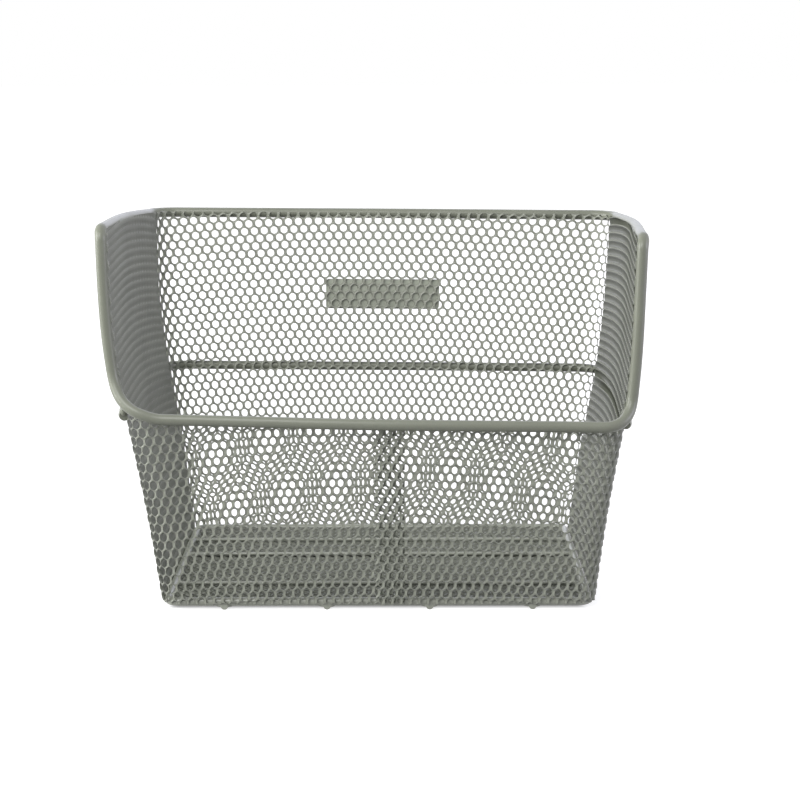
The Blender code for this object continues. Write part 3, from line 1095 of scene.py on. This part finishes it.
@dataclass
class FloorSheet:
    """The floor: a flat sheet of expanded metal inside the base wire.

    Attributes:
        material: Its finish.
        half_width: Half the width of the sheet.
        half_length: Half its length.
        corner_cut: How much is cut off each corner.
        underside: Level of its lower face.
        metal: What it is cut from.
    """

    material: Material
    half_width: float = 0.1662
    half_length: float = 0.1377
    corner_cut: float = 0.0040
    underside: float = 0.0061
    metal: ExpandedMetal = ExpandedMetal(pitch=0.0083, sheet=0.0012, tilt=0.0006)

    def build(self) -> None:
        """Model the floor sheet."""
        past, reach = 8.0, 0.03
        columns = math.ceil(self.half_width / self.metal.pitch) + 1
        rows = 2 * math.ceil(self.half_length / self.metal.rows / 2) + 2
        net = self.metal.flat("floor_sheet", (-columns, columns + 1), (-rows, rows + 1))
        x, y, cut = self.half_width, self.half_length, self.corner_cut
        corners = [(x, -y + cut), (x, y - cut), (x - cut, y), (-x + cut, y)]
        corners += [(-place, -level) for place, level in corners]
        with editing(net):
            for end, start in zip(corners, corners[1:] + corners[:1]):
                self.metal.cut(net, start, end, past, reach)
        self.metal.thicken(net)
        points = coordinates(net)
        height = self.metal.height(points[:, 0], points[:, 1], np.sign(points[:, 2]))
        points[:, 2] = self.underside + self.metal.sheet / 2 + height
        move_vertices(net, points)
        smooth(net, self.metal.crease)
        dress(net, self.material, ["floor_mesh"])


@dataclass(frozen=True)
class Wire:
    """Round steel wire.

    Attributes:
        diameter: Its diameter.
        fineness: Steps of its round section: the wire has four sides and two more for each step.
        end_round: How far its cut ends are rounded, as a share of the diameter.
        end_steps: Steps of that rounding.
        crease: Angle of the edges that stay sharp, in degrees.
        merge: Distance below which two points are one.
    """

    diameter: float
    fineness: int = 6
    end_round: float = 0.28
    end_steps: int = 4
    crease: float = 50.0
    merge: float = 0.000001

    def bend(self, name: str, points: Sequence[Sequence[float]], closed: bool = False) -> Piece:
        """Bend the wire along points.

        Args:
            name: Name of the piece.
            points: Points of its centre line.
            closed: Whether its ends are welded together.

        Returns:
            The wire as a mesh, with rounded ends unless it is closed.
        """

        def closing_edge(model: bmesh.types.BMesh) -> list[bmesh.types.BMEdge]:
            """The edge between the last point and the first."""
            model.verts.ensure_lookup_table()
            return [model.edges.get((model.verts[0], model.verts[len(points) - 1]))]

        pick()
        bpy.ops.mesh.primitive_circle_add(vertices=len(points), radius=self.diameter)
        wire = bpy.context.object
        for vertex, point in zip(wire.data.vertices, points):
            vertex.co = point
        if not closed:
            with editing(wire):
                select(wire, closing_edge)
                bpy.ops.mesh.delete(type="EDGE")
        bpy.ops.object.convert(target="CURVE")
        curve = bpy.context.object.data
        curve.bevel_depth = self.diameter / 2
        curve.bevel_resolution = self.fineness
        curve.use_fill_caps = not closed
        bpy.ops.object.convert(target="MESH")
        wire = name_new(name)
        with editing(wire):
            bpy.ops.mesh.remove_doubles(threshold=self.merge)
            bpy.ops.mesh.normals_make_consistent(inside=False)
            if not closed:
                select(wire, lambda model: [face for face in model.faces if len(face.verts) > 4])
                rounding = self.diameter * self.end_round
                steps = self.end_steps
                bpy.ops.mesh.bevel(offset=rounding, segments=steps, affect="EDGES", clamp_overlap=True)
        smooth(wire, self.crease)
        return wire

    def lay(self, name: str, start: Vector, end: Vector) -> Piece:
        """Lay the wire straight from start to end, as a mesh with rounded ends."""
        steps = 12
        return self.bend(name, [start.lerp(end, step / steps) for step in range(steps + 1)])


@dataclass(frozen=True)
class Weld:
    """A weld bead under the coat: a low, slightly rippled mound.

    Attributes:
        length: Length along its own X axis.
        width: Width along its own Y axis.
        height: Full height along its own Z axis.
        ripples: Share, and waves along X and Y, of each ripple.
    """

    length: float
    width: float
    height: float
    ripples: tuple[tuple[float, float, float], ...] = ((0.05, 9.0, 2.0), (0.03, 0.0, 7.0))

    def lay(self, place: Vector, axes: Matrix = Matrix.Identity(3)) -> Piece:
        """Lay the bead.

        Args:
            place: Its middle.
            axes: Rotation from its own axes to the basket's.

        Returns:
            The bead.
        """
        segments, rings, crease = 24, 14, 60.0
        pick()
        bpy.ops.mesh.primitive_uv_sphere_add(segments=segments, ring_count=rings, radius=0.5)
        bead = name_new("weld")
        size = Vector((self.length, self.width, self.height))
        for vertex in bead.data.vertices:
            x, y, _ = vertex.co
            waves = [share * math.sin(along * x + across * y) for share, along, across in self.ripples]
            vertex.co = axes @ (vertex.co * size * (1 + sum(waves))) + place
        bead.data.update()
        smooth(bead, crease)
        return bead


@dataclass
class RimAndBelt:
    """The rim wire around the wall's upper edge and the belt wire outside it.

    Attributes:
        wall: The wall that they are welded to.
        material: Their finish.
        rim: Stock of the rim wire.
        belt: Stock of the belt wire.
        press: How far the wires are set into the sheet by the welding.
        belt_lead: How far the belt's ends stand ahead of the side walls' straight part.
        belt_tuck: How far the belt's ends are bent in towards the wall.
        belt_bend: Length of the belt's ends that is bent so.
        belt_weld: The bead at each end of the belt.
        weld_shift: How far that bead lies from the end, along the belt.
        weld_rise: How far it lies over the belt's centre line.
        joint: The bead where the rim's ends are butt welded.
        joint_place: Where that is.
        steps: Longest steps of both wires, on a run and on a corner.
        bend_steps: Steps in each bend of the rim.
    """

    wall: Wall
    material: Material
    rim: Wire = Wire(0.0090)
    belt: Wire = Wire(0.0080)
    press: float = 0.0004
    belt_lead: float = 0.0050
    belt_tuck: float = 0.0020
    belt_bend: float = 0.0300
    belt_weld: Weld = Weld(0.0090, 0.0065, 0.0085)
    weld_shift: float = 0.0010
    weld_rise: float = 0.0040
    joint: Weld = Weld(0.0026, 0.00945, 0.00945)
    joint_place: float = 0.0
    steps: tuple[float, float] = (0.0120, 0.0025)
    bend_steps: int = 16

    def build_rim(self) -> None:
        """Model the rim wire with its butt weld."""
        offset = self.rim.diameter / 2 - self.press
        route = self.wall.rim_route(0.0, *self.steps, self.bend_steps)[:-1]
        points = [self.wall.point(around, level, offset) for around, level in route]
        rim = self.rim.bend("rim_loop", points, closed=True)
        joint = self.joint.lay(self.wall.point(self.joint_place, self.wall.low_rim_level, offset))
        dress(join("rim_loop", [rim, joint]), self.material, ["rim_wire"])

    def build_belt(self) -> None:
        """Model the belt wire, its ends and their welds to the rim."""
        start = self.wall.starts[2] - self.belt_lead
        end = self.wall.full_turn - start
        level = self.wall.belt_level

        def offset(around: float) -> float:
            """Distance of the belt's centre line outside the wall's face."""
            share = max(1 - min(around - start, end - around) / self.belt_bend, 0.0)
            return self.belt.diameter / 2 - self.press - self.belt_tuck * share * share

        stops = self.wall.stops(start, end, *self.steps)
        points = [self.wall.point(around, level, offset(around)) for around in stops]
        belt = self.belt.bend("belt_hoop", points)
        beads = []
        for around, shift in ((start, self.weld_shift), (end, -self.weld_shift)):
            here = self.wall.point(around, level, offset(start))
            along = (self.wall.point(around + self.wall.nudge, level, offset(start)) - here).normalized()
            out = along.cross(UP).normalized()
            axes = Matrix((along, out, out.cross(along))).transposed()
            beads.append(self.belt_weld.lay(here + along * shift + UP * self.weld_rise, axes))
        dress(join("belt_hoop", [belt, *beads]), self.material, ["belt_wire"])


@dataclass
class BaseFrame:
    """The base: a loop of wire inside the wall's foot, the runners under it and the cross wires.

    Attributes:
        wall: The wall whose foot it stands in.
        material: Its finish.
        ring: Stock of the base wire.
        runner: Stock of the runners.
        cross: Stock of the cross wires.
        sheet: Thickness of the sheets.
        ring_gap: Gap between the base wire and the wall.
        weld_gap: Gap between the other pieces.
        runners: Number of runners.
        runner_inset: Distance of the outer runners from the wall's outer face.
        mound: The weld at each end of a runner.
        mound_inset: Distance of its middle from the runner's end.
        mound_foot: Level of its lower side.
        cross_places: Places of the cross wires from front to back.
        corner_steps: Steps in each corner of the base wire.
    """

    wall: Wall
    material: Material
    ring: Wire = Wire(0.0070)
    runner: Wire = Wire(0.0060, 5)
    cross: Wire = Wire(0.0035, 4)
    sheet: float = 0.0010
    ring_gap: float = 0.0005
    weld_gap: float = 0.0003
    runners: int = 4
    runner_inset: float = 0.0510
    mound: Weld = Weld(0.0165, 0.0085, 0.0050)
    mound_inset: float = 0.0045
    mound_foot: float = 0.0009
    cross_places: tuple[float, ...] = (-0.092, 0.017, 0.075)
    corner_steps: int = 12

    def build_ring(self) -> None:
        """Model the base wire."""
        inset = self.sheet + self.ring_gap + self.ring.diameter / 2
        half_width = self.wall.base_width / 2 - inset
        half_length = self.wall.base_length / 2 - inset
        radius = self.wall.base_corner - inset
        points = []
        for turn, (side_x, side_y) in enumerate(((1, -1), (1, 1), (-1, 1), (-1, -1))):
            for index in range(self.corner_steps + 1):
                angle = (turn - 1 + index / self.corner_steps) * math.pi / 2
                x = side_x * (half_width - radius) + radius * math.cos(angle)
                y = side_y * (half_length - radius) + radius * math.sin(angle)
                points.append((x, y, self.wall.base_level))
        dress(self.ring.bend("base_loop", points, closed=True), self.material, ["base_wire"])

    def build_runners(self) -> None:
        """Model the runners, each with its weld mounds under the base wire."""
        outer = self.wall.base_width / 2 - self.runner_inset
        reach = self.wall.base_length / 2 - self.sheet - self.weld_gap
        level = self.runner.diameter / 2
        mound_level = self.mound_foot + self.mound.height / 2
        for index in range(self.runners):
            x = outer * (2 * index / (self.runners - 1) - 1)
            name = f"runner_{index + 1}"
            runner = self.runner.lay(name, Vector((x, -reach, level)), Vector((x, reach, level)))
            ends = [end * (reach - self.mound_inset) for end in (-1, 1)]
            mounds = [self.mound.lay(Vector((x, y, mound_level))) for y in ends]
            dress(join(name, [runner, *mounds]), self.material, [f"runner_wire_{index + 1}"])

    def build_cross_wires(self) -> None:
        """Model the thin wires across the floor."""
        low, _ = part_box("cross_wire_1")
        level = low.z + self.cross.diameter / 2
        reach = self.wall.base_width / 2 - self.sheet - self.ring_gap - self.ring.diameter - self.weld_gap
        for index, y in enumerate(self.cross_places):
            left, right = [Vector((end * reach, y, level)) for end in (-1, 1)]
            wire = self.cross.lay(f"cross_{index + 1}", left, right)
            dress(wire, self.material, [f"cross_wire_{index + 1}"])


@dataclass
class BackPlate:
    """The bare plate outside the back wall.

    Attributes:
        wall: The wall that it is welded to.
        material: Its finish.
        width: Its width.
        height: Its height.
        sheet: Its thickness.
        level: Level of its middle.
        corner: Radius of its corners.
        edge: Width of its rounded edges.
        weld_gap: Gap between it and the wall.
        crease: Angle of the edges that stay sharp, in degrees.
        corner_steps: Steps of each corner.
        edge_steps: Steps of each rounded edge.
    """

    wall: Wall
    material: Material
    width: float = 0.1040
    height: float = 0.0275
    sheet: float = 0.0010
    level: float = 0.2220
    corner: float = 0.0030
    edge: float = 0.0003
    weld_gap: float = 0.0003
    crease: float = 40.0
    corner_steps: int = 8
    edge_steps: int = 2

    def through(self, edge: bmesh.types.BMEdge) -> bool:
        """Whether an edge of the plain plate goes through its thickness."""
        start, end = edge.verts
        return abs(start.co.y - end.co.y) > self.sheet / 2

    def build(self) -> None:
        """Model the plate."""
        facing = 0.9
        pick()
        bpy.ops.mesh.primitive_cube_add(size=1.0)
        plate = name_new("plate")
        plate.scale = (self.width, self.sheet, self.height)
        bpy.ops.object.transform_apply(location=False, rotation=False, scale=True)
        with editing(plate):
            select(plate, lambda model: [edge for edge in model.edges if self.through(edge)])
            bpy.ops.mesh.bevel(offset=self.corner, segments=self.corner_steps, affect="EDGES")
            select(plate, lambda model: [face for face in model.faces if abs(face.normal.y) > facing])
            bpy.ops.mesh.bevel(offset=self.edge, segments=self.edge_steps, affect="EDGES")
        half_turn = self.wall.full_turn / 2
        middle = self.wall.point(half_turn, self.level, self.weld_gap + self.sheet / 2)
        outwards = middle - self.wall.point(half_turn, self.level)
        plate.rotation_euler = (math.atan2(outwards.z, outwards.y), 0, 0)
        plate.location = middle
        bpy.ops.object.transform_apply(location=True, rotation=True, scale=True)
        smooth(plate, self.crease)
        dress(plate, self.material, ["back_plate"])


@dataclass(frozen=True)
class Softbox:
    """A square soft light.

    Attributes:
        name: Its name.
        place: Where it hangs.
        size: Length of its sides.
        power: Its power.
        colour: Its colour.
    """

    name: str
    place: tuple[float, float, float]
    size: float
    power: float
    colour: Colour = WHITE

    def hang(self, target: Vector) -> None:
        """Hang the light and point it at a target.

        Args:
            target: What it lights.
        """
        light = bpy.data.lights.new(self.name, "AREA")
        light.shape = "SQUARE"
        light.size = self.size
        light.energy = self.power
        light.color = self.colour
        lamp = bpy.data.objects.new(self.name, light)
        bpy.context.scene.collection.objects.link(lamp)
        lamp.location = self.place
        lamp.rotation_mode = "QUATERNION"
        lamp.rotation_quaternion = (target - Vector(self.place)).to_track_quat("-Z", "Y")


@dataclass
class Studio:
    """A white studio: the camera at the photograph's place, softboxes and a pale floor.

    Attributes:
        camera_place: Where the camera stands.
        pitch: How far it looks down, in radians.
        yaw: How far it is turned to the left.
        roll: How far it is tilted.
        lens: Focal length in millimetres, on a sensor of sensor_width.
        clip: Nearest and furthest distance that it sees.
        target: What the softboxes point at.
        softboxes: The lights.
        ambient: Strength of the light from all around, which has ambient_colour.
        floor_paint: Lightness of the floor.
        floor_size: Length of its sides.
        floor_glow: Brightness that the camera sees on the floor in full shade, beside the basket.
        footprint: Half sizes of the ground under the basket, which has no glow, so that it stays darker
            there as a painted shadow.
        footprint_edge: Where the glow starts, as a share of those.
        glow_fade: Distances from the middle at which the glow starts to rise and is full.
    """

    camera_place: tuple[float, float, float] = (0.03956, -1.89112, 0.44143)
    pitch: float = 0.15393
    yaw: float = 0.01125
    roll: float = -0.00459
    lens: float = 100.33
    sensor_width: float = 36.0
    clip: tuple[float, float] = (0.05, 100.0)
    target: tuple[float, float, float] = (0.0, 0.0, 0.15)
    softboxes: tuple[Softbox, ...] = (
        Softbox("key", (-0.96, -1.91, 2.09), 1.8, 72.0),
        Softbox("left", (-2.42, -0.35, 0.95), 1.7, 90.0),
        Softbox("right", (2.42, -0.35, 0.95), 1.5, 44.0, (0.86, 0.83, 1.0)),
        Softbox("back", (0.0, 2.6, 1.50), 2.4, 16.0, (0.74, 0.76, 1.0)),
    )
    ambient: float = 0.22
    ambient_colour: Colour = (0.96, 0.98, 1.0)
    floor_paint: float = 0.40
    floor_size: float = 60.0
    floor_glow: float = 0.80
    footprint: tuple[float, float] = (0.172, 0.142)
    footprint_edge: float = 0.90
    glow_fade: tuple[float, float] = (0.5, 2.0)

    def place_camera(self) -> None:
        """Put the camera where the photograph was taken from."""
        data = bpy.data.cameras.new("camera")
        data.lens = self.lens
        data.sensor_width = self.sensor_width
        data.sensor_fit = "HORIZONTAL"
        data.clip_start, data.clip_end = self.clip
        camera = bpy.data.objects.new("camera", data)
        bpy.context.scene.collection.objects.link(camera)
        turn = Matrix.Rotation(self.yaw, 3, "Z")
        look = Matrix.Rotation(math.pi / 2 - self.pitch, 3, "X")
        tilt = Matrix.Rotation(self.roll, 3, "Z")
        camera.rotation_mode = "QUATERNION"
        camera.rotation_quaternion = (turn @ look @ tilt).to_quaternion()
        camera.location = self.camera_place
        bpy.context.scene.camera = camera

    def mix_seen(self, tree: Tree, unseen: Socket, seen: Socket) -> Socket:
        """Mix two shaders by whether the camera sees them, directly, mirrored or through glass.

        Args:
            tree: The node tree that the nodes are added to.
            unseen: The shader for all other rays, which carry the light.
            seen: The shader that is seen.

        Returns:
            The mixed shader.
        """
        path = add_node(tree, "LightPath").outputs
        either = path["Is Camera Ray"]
        for name in ("Is Glossy Ray", "Is Transmission Ray"):
            higher = add_node(tree, "Math", {0: either, 1: path[name]}, operation="MAXIMUM")
            either = higher.outputs["Value"]
        return add_node(tree, "MixShader", {"Fac": either, 1: unseen, 2: seen}).outputs["Shader"]

    def light_world(self) -> None:
        """Give the world a plain, soft light and a white look."""
        world = bpy.data.worlds.new("studio")
        world.use_nodes = True
        bpy.context.scene.world = world
        tree = world.node_tree
        tree.nodes.clear()
        shaders = []
        for colour, strength in ((self.ambient_colour, self.ambient), (WHITE, 1.0)):
            light = add_node(tree, "Background", {"Color": (*colour, 1.0), "Strength": strength})
            shaders.append(light.outputs["Background"])
        add_node(tree, "OutputWorld", {"Surface": self.mix_seen(tree, *shaders)})

    def glow_strength(self, tree: Tree) -> Socket:
        """Nodes for the floor's glow: none under the basket, as a painted shadow, some beside it and full
        far away.

        Args:
            tree: The node tree that they are added to.

        Returns:
            The socket with the strength.
        """

        def maths(operation: str, first: Socket, second: Socket | float = 0.0) -> Socket:
            """A sum of two sockets, or of a socket and a number."""
            return add_node(tree, "Math", {0: first, 1: second}, operation=operation).outputs["Value"]

        def ramp(value: Socket, limits: tuple[float, float], high: float) -> Socket:
            """A soft step from 0 to high.

            Args:
                value: What decides how far up it is.
                limits: Values at which it starts and ends.
                high: Its height.

            Returns:
                The socket with the step.
            """
            inputs = {"Value": value, "From Min": limits[0], "From Max": limits[1], "To Min": 0.0}
            inputs["To Max"] = high
            return add_node(tree, "MapRange", inputs, interpolation_type="SMOOTHSTEP").outputs["Result"]

        place = add_node(tree, "TexCoord").outputs["Object"]
        parts = add_node(tree, "SeparateXYZ", {"Vector": place}).outputs
        across, along = [maths("ABSOLUTE", parts[axis]) for axis in "XY"]
        shares = [maths("DIVIDE", way, half) for way, half in zip((across, along), self.footprint)]
        # No glow within the footprint: a painted shadow on the ground under the basket.
        beside = ramp(maths("MAXIMUM", *shares), (self.footprint_edge, 1.0), self.floor_glow)
        far = ramp(maths("MAXIMUM", across, along), self.glow_fade, 1.0 - self.floor_glow)
        return maths("ADD", beside, far)

    def floor_material(self) -> Material:
        """A pale floor that is white to the camera wherever nothing shades it.

        Returns:
            The material.
        """
        material = bpy.data.materials.new("pale_floor")
        material.use_nodes = True
        tree = material.node_tree
        tree.nodes.clear()
        grey = (self.floor_paint, self.floor_paint, self.floor_paint, 1.0)
        paint = add_node(tree, "BsdfDiffuse", {"Color": grey}).outputs["BSDF"]
        light = {"Color": (*WHITE, 1.0), "Strength": self.glow_strength(tree)}
        glow = add_node(tree, "Emission", light).outputs["Emission"]
        both = add_node(tree, "AddShader", {0: paint, 1: glow}).outputs["Shader"]
        add_node(tree, "OutputMaterial", {"Surface": self.mix_seen(tree, paint, both)})
        return material

    def lay_floor(self) -> None:
        """Lay the floor under the basket."""
        pick()
        bpy.ops.mesh.primitive_plane_add(size=self.floor_size, location=(0, 0, 0))
        floor = name_new("floor")
        floor.data.materials.append(self.floor_material())

    def build(self) -> None:
        """Set up the camera, the lights and the floor."""
        self.place_camera()
        self.light_world()
        self.lay_floor()
        for softbox in self.softboxes:
            softbox.hang(Vector(self.target))
        bpy.context.scene.view_settings.view_transform = "Standard"


def main() -> None:
    """Build the basket and the studio, and log the triangles and the top of each piece of the basket."""
    logging.basicConfig(level=logging.INFO, format="%(name)s: %(message)s")
    # The wires' colour is set darker than the mesh's: painted shade on the wires, which have the same coat.
    wire_coat = PowderCoat("wire_coat", (0.158, 0.167, 0.131)).material()
    mesh_coat = PowderCoat("mesh_coat", (0.194, 0.203, 0.170), peel=0.00002).material()
    # The plate's colour is set far lighter than the mesh's: painted light on the plate, which has the same
    # coat.
    plate_coat = PowderCoat("plate_coat", (0.345, 0.366, 0.303), roughness=0.38).material()
    # The floor sheet's colour is set about half as light as the mesh's: painted shade on the floor, which
    # has the same coat.
    painted_shade_floor_coat = PowderCoat("painted_shade_floor_coat", (0.098, 0.104, 0.084), roughness=0.46, peel=0.00002).material()
    # The base wire, runners and cross wires get a lighter, glossier copy of the coat: painted light on
    # them, which have the same coat.
    painted_light_base_coat = PowderCoat("painted_light_base_coat", (0.235, 0.246, 0.205), roughness=0.36, coat=0.8).material()
    wall = Wall()
    Studio().build()
    sheet = WallSheet(wall, mesh_coat)
    for stretch in Stretch:
        sheet.build(stretch)
    FloorSheet(painted_shade_floor_coat).build()
    rim = RimAndBelt(wall, wire_coat)
    rim.build_rim()
    rim.build_belt()
    base = BaseFrame(wall, painted_light_base_coat)
    base.build_ring()
    base.build_runners()
    base.build_cross_wires()
    BackPlate(wall, plate_coat).build()


if __name__ == "__main__":
    main()
